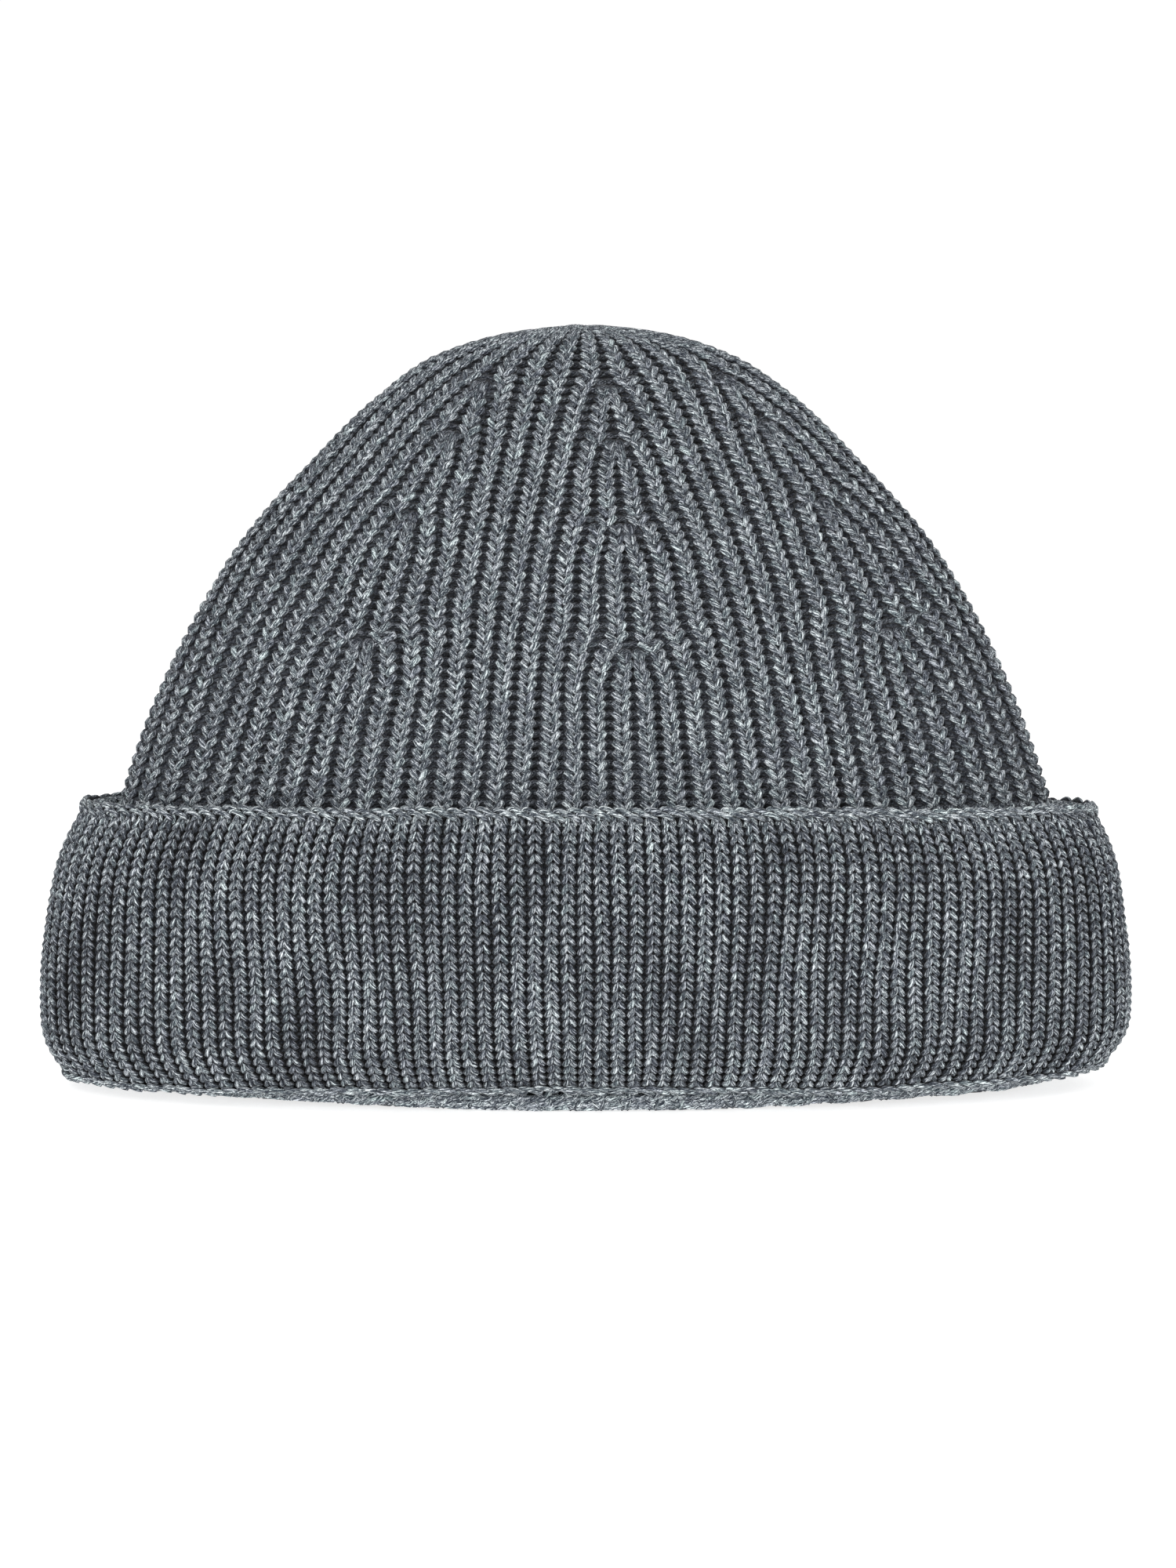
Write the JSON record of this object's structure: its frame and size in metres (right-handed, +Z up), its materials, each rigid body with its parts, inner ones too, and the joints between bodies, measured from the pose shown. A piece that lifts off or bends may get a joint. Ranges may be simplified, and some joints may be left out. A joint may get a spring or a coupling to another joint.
{
  "type": "knit beanie",
  "caption": "Close-fitting rib-knit winter hat with a domed crown and a wide double-layer cuff turned up round the rim.",
  "frame": {"origin": "centre of the rim, on the plane that the hat stands on", "axes": "+Z up through the crown, -Y towards the front, +X to the wearer's left along the hat's width"},
  "size_m": [0.23, 0.088, 0.1597],
  "materials": {
    "rib_knit": "melange grey 1x1 rib knit, soft and slightly hairy",
    "cuff_knit": "melange grey plain knit, soft and slightly hairy",
    "chain_yarn": "melange grey yarn in a linked chain of stitches",
    "seam_yarn": "melange grey yarn, seam allowance and closing stitches"
  },
  "bodies": {
    "crown": {"crown_shell": "rib_knit", "rim_roll": "rib_knit", "crown_back_seam": "seam_yarn", "closing_thread": "seam_yarn", "closing_knot": "seam_yarn"},
    "cuff": {"cuff_outer_layer": "cuff_knit", "cuff_inner_layer": "cuff_knit", "cuff_top_chain": "chain_yarn", "cuff_bottom_chain": "chain_yarn", "cuff_back_seam": "seam_yarn"}
  },
  "joints": [
    {"name": "cuff_turn_down", "type": "slide", "parent": "crown", "child": "cuff", "axis": [0, 0, -1], "range_m": [0, 0.055]}
  ]
}
